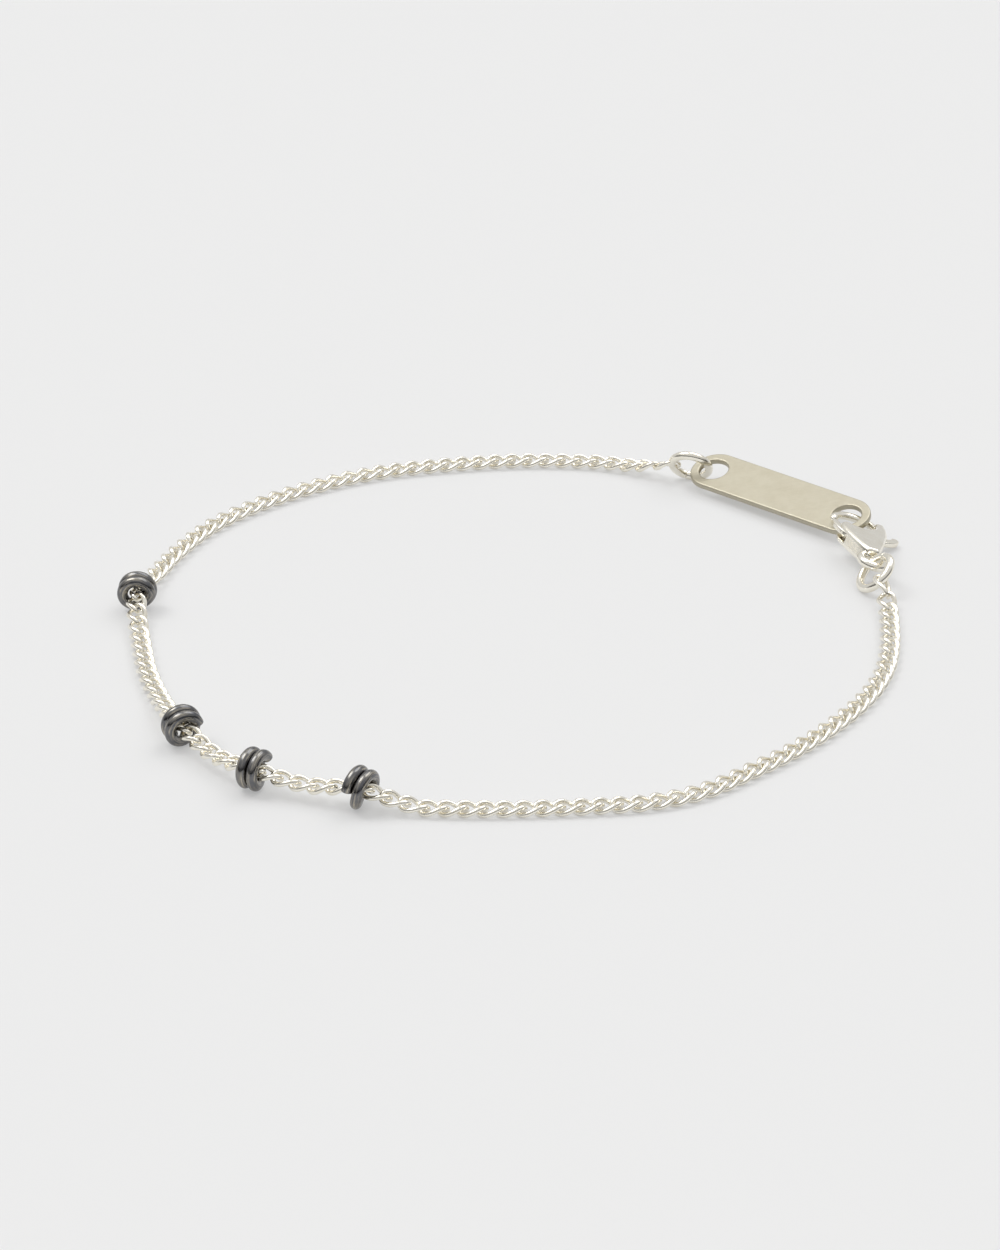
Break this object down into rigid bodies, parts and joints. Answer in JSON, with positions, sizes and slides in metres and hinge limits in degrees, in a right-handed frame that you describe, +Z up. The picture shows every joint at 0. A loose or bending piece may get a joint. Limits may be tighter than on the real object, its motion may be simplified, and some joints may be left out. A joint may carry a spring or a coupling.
{
  "type": "chain bracelet",
  "caption": "Fine curb-chain bracelet lying closed, with dark wire-coil beads, a flat stadium-shaped tag on a jump ring and a lobster clasp hooked through the tag.",
  "frame": {"origin": "under the middle of the loop's bounding box, on the surface that the bracelet lies on", "axes": "+Z up from the surface; +Y from the front of the loop, with three of the beads at its left end, to the back, where the tag ring is; +X towards the clasp's side"},
  "size_m": [0.0606, 0.0574, 0.0032],
  "materials": {
    "chain": "polished silver",
    "bead_1": "oxidised silver wire, satin with fine draw lines",
    "bead_2": "oxidised silver wire, satin with fine draw lines",
    "bead_3": "oxidised silver wire, satin with fine draw lines",
    "bead_4": "oxidised silver wire, satin with fine draw lines",
    "tag": "satin silver",
    "tag_ring": "polished silver",
    "clasp_ring": "polished silver",
    "clasp_body": "polished silver",
    "clasp_lever": "polished silver"
  },
  "bodies": {
    "bracelet": {"chain": "chain", "bead_1": "bead_1", "bead_2": "bead_2", "bead_3": "bead_3", "bead_4": "bead_4", "tag": "tag", "tag_ring": "tag_ring", "clasp_ring": "clasp_ring", "clasp_body": "clasp_body"},
    "lever": {"clasp_lever": "clasp_lever"}
  },
  "joints": [
    {"name": "clasp_lever_hinge", "type": "hinge", "parent": "bracelet", "child": "lever", "pos_m": [0.02614, 0.01226, 0.00182], "axis": [-0.3353, -0.072, -0.9394], "range_deg": [0, 25], "stiffness_Nm_per_rad": 0.000015}
  ]
}
